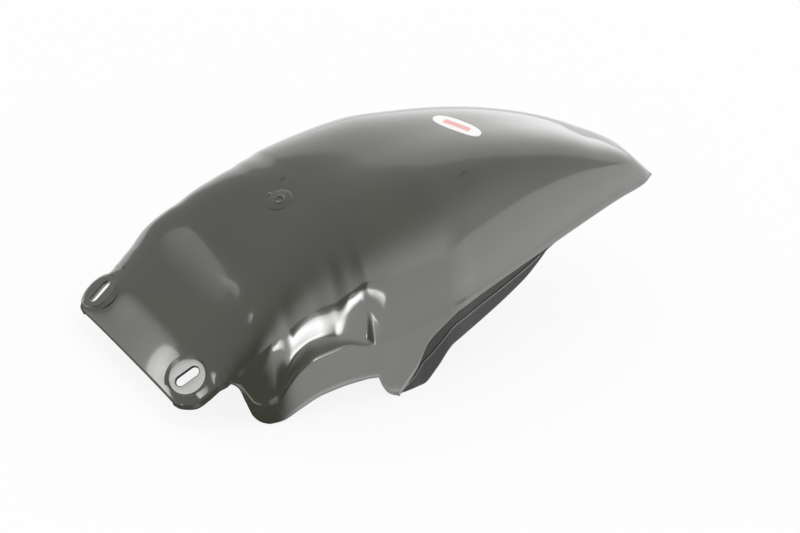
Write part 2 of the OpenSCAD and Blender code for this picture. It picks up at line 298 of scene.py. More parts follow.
def half_section(x):
    """y and z of every column at the stations x (a column vector), and the lip's height."""
    f = np.linspace(0, 1, ARCH_N + 1) ** FOOT_CROWDING
    ay, az = arch(x, f[None, :])
    foot_y, foot_z = ay[:, -1:], az[:, -1:]
    (cy, cz), (ly, lz), (ey, ez) = crease_lip_edge(x, foot_y, foot_z)
    ez = ez + EDGE_LIFT
    u = 1 - (1 - np.linspace(0, 1, LEDGE_N + 1)[None, 1:]) ** LEDGE_CROWDING
    high, wide = foot_z - cz, np.maximum(cy - foot_y, LEAST_WIDE)
    ahead = 1 - ease((x - SCOOP_END) / SCOOP_FADE)
    hollow = np.clip((high - HOLLOW_FROM) / HOLLOW_RUN, 0, 1) * ahead
    fall = np.maximum(az[:, -2:-1] - az[:, -1:], LEAST_FALL)
    lean = (ay[:, -1:] - ay[:, -2:-1]) / fall
    start = np.clip(lean * high / wide, 0, STEEPEST_START)
    bend = np.clip((LEDGE_TILT * high / wide - start) / (1 - start), *BEND_LIMITS)
    ledge_y = mix(foot_y, cy, mix(u, start * u + (1 - start) * u ** bend, hollow))
    ledge_z = mix(foot_z, cz, u)
    u = np.linspace(0, 1, SKIRT_N + 1)[None, 1:]
    skirt_y, skirt_z = mix(cy, ly, u), mix(cz, lz, u)
    h = lz - ez
    j = ease(h / FULL_DROP)
    ty = ly - mix((ly - ey) / STRIP_N, TUCK, j)
    tz = lz - mix(h / STRIP_N, TUCKED_DROP, j)
    u = np.linspace(0, 1, STRIP_N)[None, :]
    strip_y, strip_z = mix(ty, ey, u), mix(tz, ez, u)
    return (np.hstack([ay, ledge_y, skirt_y, strip_y]),
            np.hstack([az, ledge_z, skirt_z, strip_z]), h)


print("columns of half a section:", LIP_COLUMN + STRIP_N + 1)

# %% [markdown]
# ## From sections to a closed sheet
#
# The stations sit close together where the side outline turns sharply, as at the notch
# and the step, and wider apart along the crown. The inside is the outside moved through
# the sheet's thickness. A rounded band then closes the rim all the way round, because a
# moulded edge is never knife-sharp, and its thin highlight is what makes it look real.

# %% Stations and half sections
def spread(*runs):
    return np.concatenate([np.linspace(a, b, n, endpoint=False) for a, b, n in runs]
                          + [np.array([runs[-1][1]])])


STATION_RUNS = [(FRONT_X, -250, 8), (-250, -226, 14), (-226, -180, 50), (-180, -90, 54),
                (-90, 20, 98), (20, 240, 86), (240, TAIL_X, 18)]
THIN_START = 250
stations = spread(*STATION_RUNS)[:, None]
half_y, half_z, lip_drop = half_section(stations)
HALF_N = half_y.shape[1] - 1
COLS = 2 * HALF_N + 1
print("stations:", len(stations))


# %% From the outside to the inside
UPRIGHT_FROM, UPRIGHT_RUN = WALL_X + 2, 12
STRIP_RISE = 0.85


def inward_steps():
    """How far each point of a half section moves to reach the inside, as x, y and z."""
    s = crown_slope(stations)
    n = np.sqrt(1 + s * s)
    t = mix(SHEET, SHEET / 2, ease((stations - THIN_START) / (TAIL_X - THIN_START)))
    ay, az = half_y[:, :ARCH_N + 1], half_z[:, :ARCH_N + 1]
    before = (np.arange(ARCH_N + 1) - 1).clip(min=0)
    after = (np.arange(ARCH_N + 1) + 1).clip(max=ARCH_N)
    lean = np.arctan2(az[:, before] - az[:, after], ay[:, after] - ay[:, before])
    wall_lean = mix(lean[:, -1:], math.pi / 2, ease((stations - UPRIGHT_FROM) / UPRIGHT_RUN))
    lean = np.hstack([lean, np.repeat(wall_lean, HALF_N - ARCH_N, axis=1)])
    share = np.zeros(HALF_N + 1)
    share[LIP_COLUMN - SKIRT_N:LIP_COLUMN + 1] = np.linspace(0, 1, SKIRT_N + 1)
    share[LIP_COLUMN + 1] = 1
    step = ease(lip_drop / FULL_DROP) * STRIP_RISE * share[None, :]
    return (t * s / n * np.cos(lean), -t * np.sin(lean), t * (step - np.cos(lean) / n))


step_x, step_y, step_z = inward_steps()
print("the inside lies up to %.1f mm further in" % np.abs(step_y).max())


# %% Both sides of the sheet, and its strips with a matt finish and painted shade
# The strips and the inside get a darker matt black: a matt finish, and painted shade where
# they lie in shade.
MATT_SHADE_FROM, MATT_SHADE_RUN = 3, 6
MATT_SHADE_START = LIP_START - 4


def both_sides(dx, dy, dz):
    """Rows of points from the right edge over the crown to the left edge."""
    x = np.broadcast_to(stations, half_y.shape) + dx
    y, z = half_y + dy, half_z + dz
    y[:, 0] = 0
    right = np.stack([x, y, z], axis=2)[:, :0:-1]
    left = np.stack([x, -y, z], axis=2)
    return np.concatenate([right, left], axis=1)


def strip_matt_and_shade_share():
    """1 on the tucked-in strip behind the step, which gets a matt finish and painted shade; 0
    on the rest of the half section.
    """
    below = np.clip((np.arange(HALF_N + 1) - LIP_COLUMN - 0.5) * 2, 0, 1)[None, :]
    return (below * ease((lip_drop - MATT_SHADE_FROM) / MATT_SHADE_RUN)
            * np.where(stations > MATT_SHADE_START, 1, 0))


def both_halves(values):
    return np.concatenate([values[:, :0:-1], values], axis=1)


outside = both_sides(0, 0, 0)
inside = both_sides(step_x, step_y, step_z)
print("sheet grid:", outside.shape[0], "stations x", COLS, "columns")

# %% [markdown]
# ## Setting the sheet down
#
# The outlines are drawn in the plane of the wheel. The real shell comes to stand on its
# two front lobes and the lowest points of its side strips, so the drawing is turned by
# the same angle as the CAD model, and moved until the wheel's axle lies where it lies in
# the part's frame. Turning the finished object would do the same, but its origin would
# then no longer be the part's own.

# %% From the wheel's plane to the standing part
pitch = math.radians(REST_PITCH)
AXLE = Vector((0.031175, 0.0, -0.147677))


def stand(points):
    """Millimetres in the wheel's plane to metres in the part's frame."""
    p = np.asarray(points, float)
    x = p[..., 0] * math.cos(pitch) + p[..., 2] * math.sin(pitch)
    z = p[..., 2] * math.cos(pitch) - p[..., 0] * math.sin(pitch)
    return np.stack([x, p[..., 1], z], axis=-1) * MM + np.array(AXLE)


stood = stand(outside).reshape(-1, 3)
print("fine sheet in mm:", (stood.min(0) / MM).round(1), (stood.max(0) / MM).round(1))

# %% The rounded rim
RIM_STEPS = 4
RIM_BULGE = 0.7
RIM_REACH = 3
INWARD = 6


def rim_band(out, inn):
    """Points of a band that closes the rim, and the order of the rim's points."""
    rows, cols = out.shape[:2]
    order = ([(0, i) for i in range(cols)] + [(k, cols - 1) for k in range(1, rows)]
             + [(rows - 1, i) for i in range(cols - 2, -1, -1)]
             + [(k, 0) for k in range(rows - 2, 0, -1)])
    k, i = np.array(order).T
    po, pi = out[k, i], inn[k, i]
    along = np.roll(po, -RIM_REACH, axis=0) - np.roll(po, RIM_REACH, axis=0)
    through = pi - po
    away = np.cross(through, along)
    away /= np.linalg.norm(away, axis=1)[:, None]
    inner_k = np.clip(k, INWARD, rows - INWARD - 1)
    inner_i = np.clip(i, INWARD, cols - INWARD - 1)
    away *= np.sign(np.einsum("ij,ij->i", away, po - out[inner_k, inner_i]))[:, None]
    band = []
    for s in range(1, RIM_STEPS + 1):
        a = math.pi * s / (RIM_STEPS + 1)
        band.append((po + pi) / 2 - through / 2 * math.cos(a) + away * RIM_BULGE * math.sin(a))
    return order, band


print("rim of", len(rim_band(outside, inside)[0]), "points")


# %% The closed mesh
def grid_faces(rows, cols, start, flip):
    k, i = np.meshgrid(np.arange(rows - 1), np.arange(cols - 1), indexing="ij")
    a = start + (k * cols + i).ravel()
    f = np.stack([a, a + 1, a + cols + 1, a + cols], axis=1)
    return (f[:, ::-1] if flip else f).tolist()


def sheet_mesh(name):
    rows, cols = outside.shape[:2]
    order, band = rim_band(outside, inside)
    points = np.concatenate([outside.reshape(-1, 3), inside.reshape(-1, 3)] + band)
    size, ring = rows * cols, len(order)
    faces = grid_faces(rows, cols, 0, False) + grid_faces(rows, cols, size, True)
    index = [k * cols + i for k, i in order]
    rings = [index] + [[2 * size + s * ring + j for j in range(ring)]
                       for s in range(RIM_STEPS)] + [[size + v for v in index]]
    for a, b in zip(rings[:-1], rings[1:]):
        faces += [[a[j], b[j], b[(j + 1) % ring], a[(j + 1) % ring]] for j in range(ring)]
    mesh = bpy.data.meshes.new(name)
    mesh.from_pydata(stand(points).tolist(), [], faces)
    # This attribute marks where the darker matt black goes: a matt finish and painted shade on
    # the inside and the strips.
    matt_and_painted_shade = np.zeros(len(points))
    matt_and_painted_shade[:size] = both_halves(strip_matt_and_shade_share()).ravel()
    matt_and_painted_shade[size:2 * size] = 1
    mesh.attributes.new("matt_and_painted_shade", "FLOAT", "POINT").data.foreach_set("value", matt_and_painted_shade)
    mesh.validate()
    return mesh


sheet = sheet_mesh("shell")
print("closed mesh:", len(sheet.polygons), "faces")


# %% A piece in the scene
def shown(mesh, name):
    """Puts a finished mesh in the scene with smooth shading and outward faces."""
    work = bmesh.new()
    work.from_mesh(mesh)
    bmesh.ops.remove_doubles(work, verts=work.verts, dist=0.02 * MM)
    bmesh.ops.recalc_face_normals(work, faces=work.faces)
    work.to_mesh(mesh)
    work.free()
    mesh.polygons.foreach_set("use_smooth", [True] * len(mesh.polygons))
    piece = bpy.data.objects.new(name, mesh)
    bpy.context.scene.collection.objects.link(piece)
    return piece


shell = shown(sheet, "shell")
print("shell:", len(shell.data.polygons), "faces")

# %% [markdown]
# ## Fixing pads and the mark of the mould
#
# Each pad is a flat round seat that stands on low steps, with a slot through it. It
# could be cut with booleans, but a loft is cleaner: rings of points go from the slot's
# outline to round ones, so every edge gets its own small rounding. Below its rim each
# slot opens wider, so that daylight shows through it. The small ring on the crown and the
# pip beside it are made by the same loft.

# %% A loft through slot-shaped and round rings
PAD_X, PAD_LEFT, PAD_RIGHT, PAD_TILT = -238.5, 64, 81, 17
SLOT_W, SLOT_L = 9, 23
RING_POINTS = 96


def slot_outline(extra):
    """Points of a slot's outline, grown by extra, evenly round its centre."""
    r, run = SLOT_W / 2 + extra, (SLOT_L - SLOT_W) / 2
    out = []
    for a in np.linspace(0, 2 * math.pi, RING_POINTS, endpoint=False):
        c, s = math.cos(a), math.sin(a)
        flat = r / abs(s) if abs(s) > 1e-6 else 1e9
        if abs(flat * c) > run:
            k = run * abs(c)
            flat = k + math.sqrt(max(k * k - run * run + r * r, 0))
        out.append((flat * c, flat * s))
    return out


def round_outline(radius):
    angles = np.linspace(0, 2 * math.pi, RING_POINTS, endpoint=False)
    return [(radius * math.cos(a), radius * math.sin(a)) for a in angles]


def loft(rings, place, closed):
    """A surface through rings of points; place turns local millimetres into wheel ones."""
    points = [place([x, y, z]) for outline, z in rings for x, y in outline]
    n = RING_POINTS
    pairs = list(zip(range(len(rings)), range(1, len(rings))))
    if closed:
        pairs.append((len(rings) - 1, 0))
    faces = [[a * n + j, a * n + (j + 1) % n, b * n + (j + 1) % n, b * n + j]
             for a, b in pairs for j in range(n)]
    if not closed:
        faces += [list(range(n)), list(range(len(points) - n, len(points)))]
    mesh = bpy.data.meshes.new("loft")
    mesh.from_pydata(stand(points).tolist(), [], faces)
    return mesh


print("slot outline of", len(slot_outline(0)), "points")

# %% The two pads
def pad_place(side, off):
    z = float(crown_z(PAD_X)) - FLANGE_SAG * (off / SAG_HALF_WIDTH) ** 3
    turn = (Matrix.Rotation(math.radians(-side * PAD_TILT), 3, "X")
            @ Matrix.Rotation(math.radians(-FLANGE_SLOPE), 3, "Y"))
    return lambda p: list(turn @ Vector(p) + Vector((PAD_X, side * off, z)))


def pad_rings():
    slot = [(4.2, -4.6), (4, -1.2), (0.6, -0.9), (0, -0.5), (0, 1.3), (0.2, 1.75),
            (0.6, 1.98), (1, 2)]
    steps = [(16.4, 2), (17, 1.98), (17.4, 1.75), (17.5, 1.5), (17.6, 1.3), (18, 1.02),
             (18.8, 1), (19.3, 0.9), (19.5, 0.6), (19.6, 0.3), (20, 0.12), (20.8, 0.1),
             (21.3, 0), (21.5, -0.3), (21.5, -3.4), (17.5, -3.4), (17.5, -4.6)]
    return ([(slot_outline(e), z) for e, z in slot]
            + [(round_outline(r), z) for r, z in steps])


pads = [shown(loft(pad_rings(), pad_place(side, off), True), name)
        for side, off, name in ((-1, PAD_LEFT, "pad_left"), (1, PAD_RIGHT, "pad_right"))]
print("pads:", [len(pad.data.polygons) for pad in pads], "faces")

# %% The ring on its disc
crown_place_turn = Matrix.Rotation(math.asin(FRONT_CURVE_X / CROWN_R), 3, "Y")
crown_spot = Vector((FRONT_CURVE_X, 0, front_curve_z))


def on_crown(p):
    return list(crown_place_turn @ Vector(p) + crown_spot)


disc = [(11.5, -1), (11.5, 0.1), (11.3, 0.35), (10.8, 0.5), (5.2, 0.5), (4.85, 0.6),
        (4.75, 1.0), (4.5, 1.25), (4.1, 1.3), (3.6, 1.3), (3.3, 1.15), (3.25, 0.6),
        (3.0, 0.35), (0.5, 0.3)]
mark = shown(loft([(round_outline(r), z) for r, z in disc], on_crown, False), "mould_mark")
PIP_AHEAD, PIP_ASIDE, PIP_SUNK = 3, 12.3, 0.3
pip_rings = [(2.4, -1), (2.4, 0.1), (2.2, 0.5), (1.7, 0.9), (1.0, 1.15), (0.3, 1.2)]
pip = shown(loft([(round_outline(r), z) for r, z in pip_rings],
                 lambda p: on_crown([p[0] - PIP_AHEAD, p[1] + PIP_ASIDE, p[2] - PIP_SUNK]),
                 False), "mould_pip")
print("ring and pip:", [len(piece.data.polygons) for piece in (mark, pip)], "faces")

# %% The holes under the pads
def pad_cutter(side, off):
    """A stepped plug: a hole below the seat, and clear room over it."""
    steps = [(14.5, -12), (14.5, 1), (17.5, 1.2), (17.6, 12)]
    mesh = loft([(round_outline(r), z) for r, z in steps], pad_place(side, off), False)
    return shown(mesh, "cutter")


for side, off in ((-1, PAD_LEFT), (1, PAD_RIGHT)):
    cutter = pad_cutter(side, off)
    cut = shell.modifiers.new("hole", "BOOLEAN")
    cut.operation, cut.solver, cut.object = "DIFFERENCE", "EXACT", cutter
    seen = shell.evaluated_get(bpy.context.evaluated_depsgraph_get())
    mesh = bpy.data.meshes.new_from_object(seen)
    shell.modifiers.clear()
    shell.data = mesh
    bpy.data.objects.remove(cutter)
print("shell with holes:", len(shell.data.polygons), "faces")

# %% [markdown]
# ## The bead along each strip
#
# A thin raised bead runs along the tucked-in strip and stiffens it. It follows a path, so
# Geometry Nodes sweep a small round profile along a curve, with the bead's radius as a
# named input. A loft by hand would do the same, but then every change of path would mean
# new code.

# %% A node tree that sweeps a round bead along a curve
BEAD_RADIUS = 0.9


def bead_tree():
    tree = bpy.data.node_groups.new("round_bead", "GeometryNodeTree")
    face = tree.interface
    face.new_socket("Geometry", in_out="INPUT", socket_type="NodeSocketGeometry")
    radius = face.new_socket("Bead radius", in_out="INPUT", socket_type="NodeSocketFloat")
    face.new_socket("Finish", in_out="INPUT", socket_type="NodeSocketMaterial")
    face.new_socket("Geometry", in_out="OUTPUT", socket_type="NodeSocketGeometry")
    radius.default_value = BEAD_RADIUS * MM
    start, end = tree.nodes.new("NodeGroupInput"), tree.nodes.new("NodeGroupOutput")
    profile = tree.nodes.new("GeometryNodeCurvePrimitiveCircle")
    profile.inputs["Resolution"].default_value = 12
    sweep = tree.nodes.new("GeometryNodeCurveToMesh")
    sweep.inputs["Fill Caps"].default_value = True
    real = tree.nodes.new("GeometryNodeRealizeInstances")
    paint = tree.nodes.new("GeometryNodeSetMaterial")
    for a, b in ((start.outputs[0], sweep.inputs["Curve"]),
                 (start.outputs[1], profile.inputs["Radius"]),
                 (profile.outputs[0], sweep.inputs["Profile Curve"]),
                 (sweep.outputs[0], real.inputs[0]), (real.outputs[0], paint.inputs[0]),
                 (start.outputs[2], paint.inputs["Material"]),
                 (paint.outputs[0], end.inputs[0])):
        tree.links.new(a, b)
    return tree


round_bead = bead_tree()
print("bead tree of", len(round_bead.nodes), "nodes")

# %% The two beads
BEAD_ENDS, BEAD_POINTS = (-47, 118), 70
BEAD_AT = 0.5


def bead_path(side):
    """Points along the middle of a strip; half of the round bead stands out of it."""
    x = np.linspace(*BEAD_ENDS, BEAD_POINTS)[:, None]
    y, z = half_section(x)[:2]
    k = LIP_COLUMN + round(STRIP_N * BEAD_AT)
    return stand(np.stack([x[:, 0], side * y[:, k], z[:, k]], axis=1))


def sweep_bead(side, name, tree, finish):
    curve = bpy.data.curves.new(name, "CURVE")
    curve.dimensions = "3D"
    path = bead_path(side)
    weights = np.ones((len(path), 1))
    line = curve.splines.new("POLY")
    line.points.add(len(path) - 1)
    line.points.foreach_set("co", np.hstack([path, weights]).ravel())
    holder = bpy.data.objects.new(name, curve)
    bpy.context.scene.collection.objects.link(holder)
    nodes = holder.modifiers.new("bead", "NODES")
    nodes.node_group = tree
    inputs = {s.name: s.identifier for s in tree.interface.items_tree
              if s.in_out == "INPUT"}
    nodes[inputs["Bead radius"]] = BEAD_RADIUS * MM
    nodes[inputs["Finish"]] = finish
    seen = holder.evaluated_get(bpy.context.evaluated_depsgraph_get())
    mesh = bpy.data.meshes.new_from_object(seen)
    bpy.data.objects.remove(holder)
    return shown(mesh, name)


black = bpy.data.materials.new("gloss_black_plastic")
beads = [sweep_bead(side, name, round_bead, black)
         for side, name in ((-1, "bead_left"), (1, "bead_right"))]
print("beads:", [len(b.data.polygons) for b in beads], "faces")

# %% [markdown]
# ## The label
#
# A small printed label sits on the crown near the tail. It is a film a fifth of a
# millimetre thick that bends with the crown, so it is made of oval rings laid on the
# crown's own formula. Its print is generic: one pale red bar on white.

# %% An oval film laid on the crown
LABEL_X, LABEL_LONG, LABEL_WIDE, LABEL_TURN = 73, 22, 9.5, -55
LABEL_UP, LABEL_EDGE_UP, LABEL_SUNK = 0.22, 0.132, -0.15
LABEL_RINGS = 16
LABEL_CORNER = 0.8


def oval(share):
    """Points of a plain rounded oval at a share of its full size."""
    out = []
    for j in range(RING_POINTS):
        a = 2 * math.pi * j / RING_POINTS
        u, v = (math.copysign(abs(w) ** LABEL_CORNER, w) for w in (math.cos(a), math.sin(a)))
        out.append((share * LABEL_LONG * u, share * LABEL_WIDE * v))
    return out


def on_label(u, v, up):
    """A point of the label, u along and v across it, in the wheel's millimetres."""
    a = math.radians(LABEL_TURN)
    x = LABEL_X + u * math.cos(a) - v * math.sin(a)
    y = u * math.sin(a) + v * math.cos(a)
    return [float(x), float(y), surface_height(x, y) + up]


def label_mesh():
    rings = [(oval(k / LABEL_RINGS), LABEL_UP) for k in range(1, LABEL_RINGS + 1)]
    rings += [(oval(1.008), LABEL_EDGE_UP), (oval(1.012), LABEL_SUNK)]
    local = [(u, v, up) for outline, up in rings for u, v in outline]
    n = RING_POINTS
    faces = [[a * n + j, a * n + (j + 1) % n, (a + 1) * n + (j + 1) % n, (a + 1) * n + j]
             for a in range(len(rings) - 1) for j in range(n)]
    faces += [list(range(n)), list(range(len(local) - n, len(local)))]
    mesh = bpy.data.meshes.new("label")
    mesh.from_pydata(stand([on_label(*p) for p in local]).tolist(), [], faces)
    uv = mesh.uv_layers.new(name="print")
    for loop in mesh.loops:
        u, v, up = local[loop.vertex_index]
        uv.data[loop.index].uv = (u / LABEL_LONG, v / LABEL_LONG)
    return mesh


label = shown(label_mesh(), "label")
print("label:", len(label.data.polygons), "faces")

# %% [markdown]
# ## The camera
#
# The photograph is a catalogue picture taken from far off, so it has almost no
# perspective. A very long lens at a long distance gives that look. An orthographic camera
# would do the same, but its gloss would then mirror every light from one single angle.

# %% Camera
# The picture's right and up axes and the point it looks at, in the wheel's millimetres.
RIGHT = np.array([0.848, -0.530, 0.0])
UP = np.array([0.3226, 0.5163, 0.7934])
LOOKED_AT = [-36.6, -83.3, 277.6]
ROLL = 0.2
LENS, SENSOR = 600, 36
FRAME_WIDTH = 0.688


def turned(v):
    return np.array([v[0] * math.cos(pitch) + v[2] * math.sin(pitch), v[1],
                     v[2] * math.cos(pitch) - v[0] * math.sin(pitch)])


roll = math.radians(ROLL)
right = turned(RIGHT * math.cos(roll) + UP * math.sin(roll))
up = turned(UP * math.cos(roll) - RIGHT * math.sin(roll))
right /= np.linalg.norm(right)
up -= right * up.dot(right)
up /= np.linalg.norm(up)
back = np.cross(right, up)
camera = bpy.data.objects.new("camera", bpy.data.cameras.new("camera"))
bpy.context.scene.collection.objects.link(camera)
camera.data.lens = LENS
camera.data.sensor_width = SENSOR
camera.data.clip_end = 30
distance = FRAME_WIDTH * LENS / SENSOR
spot = stand(np.array(LOOKED_AT)) + back * distance
camera.matrix_world = Matrix(((right[0], up[0], back[0], spot[0]),
                              (right[1], up[1], back[1], spot[1]),
                              (right[2], up[2], back[2], spot[2]),
                              (0, 0, 0, 1)))
bpy.context.scene.camera = camera
print("camera %.2f m away" % distance)

# %% [markdown]
# ## Writing a shader as a sum
#
# A material is a web of small nodes. Placed by hand, twenty Math nodes hide one simple
# formula. A small class that stands for a socket lets the formula be written as Python:
# `0.12 + 0.1 * dull` adds its nodes by itself.

# %% A socket that takes part in sums
class Wire:
    """One output socket in a node tree, which can be added and multiplied."""

    def __init__(self, board, socket):
        self.board, self.socket = board, socket

    def math(self, operation, first, second=0.0):
        return self.board.node("ShaderNodeMath", {"operation": operation},
                               {0: first, 1: second})

    def __add__(self, other):
        return self.math("ADD", self, other)

    def __sub__(self, other):
        return self.math("SUBTRACT", self, other)

    def __rsub__(self, other):
        return self.math("SUBTRACT", other, self)

    def __mul__(self, other):
        return self.math("MULTIPLY", self, other)

    __radd__, __rmul__ = __add__, __mul__

    def clamped(self):
        return self.math("MINIMUM", self.math("MAXIMUM", self, 0.0), 1.0)


print("operators ready:", [name for name in vars(Wire) if name.startswith("__r")])


# %% One method for every node
class Board:
    """The node tree of a material or world, emptied and ready to be filled."""

    def __init__(self, owner):
        owner.use_nodes = True
        self.tree = owner.node_tree
        self.tree.nodes.clear()

    def node(self, kind, settings=None, sockets=None, out=0):
        """Adds a node, sets it up, fills its sockets and returns one output."""
        made = self.tree.nodes.new(kind)
        for name, value in (settings or {}).items():
            setattr(made, name, value)
        for key, value in (sockets or {}).items():
            if isinstance(value, Wire):
                self.tree.links.new(value.socket, made.inputs[key])
            else:
                made.inputs[key].default_value = value
        return Wire(self, made.outputs[out]) if len(made.outputs) else made

    def noise(self, where, scale, detail=2.0, roughness=0.5):
        return self.node("ShaderNodeTexNoise", {},
                         {"Vector": where, "Scale": scale, "Detail": detail,
                          "Roughness": roughness})

    def blend(self, share, first, second):
        """A colour between two colours."""
        return self.node("ShaderNodeMix", {"data_type": "RGBA"},
                         {"Factor": share, 6: first, 7: second}, out=2)

    def band(self, value, low, high):
        """0 below low, 1 above high and smooth between."""
        return self.node("ShaderNodeMapRange", {"interpolation_type": "SMOOTHSTEP"},
                         {"Value": value, "From Min": low, "From Max": high})


print("shader helpers ready")

# %% [markdown]
# ## The studio
#
# Black plastic has almost no colour of its own: what the eye reads is the reflection of
# the room. The picture was taken on white, with a bright wall beyond the tail, a long
# soft light on the near side and a darker room behind the photographer. The world below
# is that room. Each light is a soft round patch at a bearing and a height, and the wall
# also has a plain edge, which draws the long line of light on the crown. The dark room is
# a patch too, with a strength below zero. All this is meant for the gloss: rays that leave
# a matt surface find an even white instead, and the camera sees a plain white background.
# A lit model of a studio would give the same reflections at a higher price.

# %% Patches of light
FRONT_OF_ROOM = 0.4
WALL_BEARING, WALL_HEIGHT = 38, 10
SOFTBOXES = [("wall beyond the tail", WALL_BEARING, WALL_HEIGHT, 31, 1.35),
             ("long light on the near side", -60, 2, 28, 0.75),
             ("dark room behind the photographer", -125, 8, 42, -0.28)]
BACKDROP, BACKDROP_EDGE = 0.28, (50, 46)
DARKEST = 0.05


def toward(bearing, height):
    a, b = math.radians(bearing), math.radians(height)
    return (math.cos(b) * math.cos(a), math.cos(b) * math.sin(a), math.sin(b))


def nearness(board, view, bearing, height):
    """The cosine of the angle between a ray and a direction of the room."""
    return board.node("ShaderNodeVectorMath", {"operation": "DOT_PRODUCT"},
                      {0: view, 1: toward(bearing, height)}, out=1)


def patch(board, view, bearing, height, width):
    """1 in the middle of a patch of sky, falling off over width degrees."""
    near = nearness(board, view, bearing, height)
    spread_of_light = 2 * (1 - math.cos(math.radians(width)))
    return near.math("POWER", math.e, (near - 1) * (2 / spread_of_light))


print("toward the wall:", [round(v, 2) for v in toward(WALL_BEARING, WALL_HEIGHT)])


# %% The world
def studio():
    world = bpy.data.worlds.new("studio")
    board = Board(world)
    view = board.node("ShaderNodeTexCoord")
    light = board.node("ShaderNodeMath", {"operation": "ADD"}, {0: FRONT_OF_ROOM, 1: 0.0})
    for name, bearing, height, width, strength in SOFTBOXES:
        light = light + strength * patch(board, view, bearing, height, width)
        print("patch of light:", name)
    edge = [math.cos(math.radians(angle)) for angle in BACKDROP_EDGE]
    to_wall = nearness(board, view, WALL_BEARING, WALL_HEIGHT)
    light = light + BACKDROP * board.band(to_wall, *edge)
    rays = {name: board.node("ShaderNodeLightPath", out=k)
            for name, k in (("camera", 0), ("diffuse", 2))}
    light = light.math("MAXIMUM", light, DARKEST)
    even = board.node("ShaderNodeMix", {"data_type": "FLOAT"},
                      {"Factor": rays["diffuse"], 2: light, 3: 1.0})
    seen = board.node("ShaderNodeMix", {"data_type": "FLOAT"},
                      {"Factor": rays["camera"], 2: even, 3: 1.0})
    glow = board.node("ShaderNodeBackground", {}, {"Color": (1, 1, 1, 1), "Strength": seen})
    board.node("ShaderNodeOutputWorld", {}, {"Surface": glow})
    bpy.context.scene.world = world


studio()
print("room with", len(SOFTBOXES), "patches")

# %% [markdown]
# ## Small lamps close to the part
#
# A patch of the room shows in every surface that faces the right way. The white lens of
# light in the scoop and the glow at the near pad belong to one small place each, so they
# come from small lamps that stand close by, where only that place mirrors them. Each has
# a narrow beam and a very low power, so it adds a reflection and no real light.

# %% Lamps for the flange, the near pad and the scoop
LAMPS = [("flange", (-0.243, 0.005, 0.038), (-0.425, 0.28, 0.23), 0.15, 30, 0.62),
         ("flange near", (-0.25, -0.04, 0.03), (-0.43, 0.20, 0.265), 0.07, 26, 3.6),
         ("near pad", (-0.25, -0.07, 0.03), (-0.50, 0.005, 0.305), 0.10, 24, 3.6),
         ("scoop", (-0.132, -0.10, 0.085), (-0.026, -0.36, 0.032), 0.08, 17, 8.0)]


def small_lamp(name, target, place, width, beam, radiance):
    """A round lamp that faces its target; its face shows the radiance given."""
    light = bpy.data.lights.new(name, "AREA")
    light.shape, light.size = "DISK", width
    light.spread = math.radians(beam)
    half = math.radians(beam) / 2
    area = math.pi * width * width / 4
    light.energy = radiance * math.pi * area * (math.tan(half) - half) / math.tan(half)
    lamp = bpy.data.objects.new("lamp_" + name.replace(" ", "_"), light)
    lamp.location = place
    lamp.rotation_euler = (Vector(place) - Vector(target)).to_track_quat("Z", "Y").to_euler()
    lamp.visible_camera = False
    bpy.context.scene.collection.objects.link(lamp)
    return lamp


for setting in LAMPS:
    print("lamp", setting[0], "%.4f W" % small_lamp(*setting).data.energy)

# %% [markdown]
# ## The floor
#
# The part stands on a sheet of white paper. The camera sees it almost as pure white, with
# a soft shadow left under the part. In the gloss it is white beside the part, and towards
# the photographer, whose side of the studio is unlit, its colour is painted dark as
# painted shade. A backdrop image could do this too, but a plain plane with this painted
# shade is easier to change.

# %% White paper
# UNLIT_PAPER is painted shade: a dark paper colour shown only in the gloss, for the unlit side
# of the studio.
PAPER, UNLIT_PAPER = (0.93, 0.93, 0.92, 1), (0.16, 0.16, 0.15, 1)
LIT_FROM, LIT_TO, LIT_SLANT = -0.215, -0.175, 0.35
WHITE_SHARE = 0.88


def floor_finish():
    """Paper that is white to the camera; in the gloss it is white beside the part and carries
    painted shade towards the photographer.
    """
    finish = bpy.data.materials.new("white_floor")
    board = Board(finish)
    split = board.node("ShaderNodeSeparateXYZ", {},
                       {0: board.node("ShaderNodeTexCoord", out=3)})
    aside = split + LIT_SLANT * Wire(board, split.socket.node.outputs[1])
    lit = board.band(aside, LIT_FROM, LIT_TO)
    path = board.node("ShaderNodeLightPath")
    seen, gloss, through = (Wire(board, path.socket.node.outputs[name]) for name in
                            ("Is Camera Ray", "Is Glossy Ray", "Is Transmission Ray"))
    # Painted shade: the paper turns dark in the gloss where it is not lit.
    shade = gloss * (1 - lit)
    tone = board.blend(shade, PAPER, UNLIT_PAPER)
    paper = board.node("ShaderNodeBsdfDiffuse", {}, {"Color": tone})
    white = board.node("ShaderNodeEmission", {}, {"Color": (1, 1, 1, 1), "Strength": 1.0})
    share = (WHITE_SHARE * (seen + through) + gloss * lit).clamped()
    both = board.node("ShaderNodeMixShader", {}, {0: share, 1: paper, 2: white})
    board.node("ShaderNodeOutputMaterial", {}, {"Surface": both})
    return finish


FLOOR_HALF = 6
corners = [(-FLOOR_HALF, -FLOOR_HALF, 0), (FLOOR_HALF, -FLOOR_HALF, 0),
           (FLOOR_HALF, FLOOR_HALF, 0), (-FLOOR_HALF, FLOOR_HALF, 0)]
floor = bpy.data.objects.new("floor", bpy.data.meshes.new("floor"))
floor.data.from_pydata(corners, [], [(0, 1, 2, 3)])
floor.data.materials.append(floor_finish())
bpy.context.scene.collection.objects.link(floor)
bpy.context.scene.view_settings.view_transform = "Standard"
print("floor", 2 * FLOOR_HALF, "m wide")

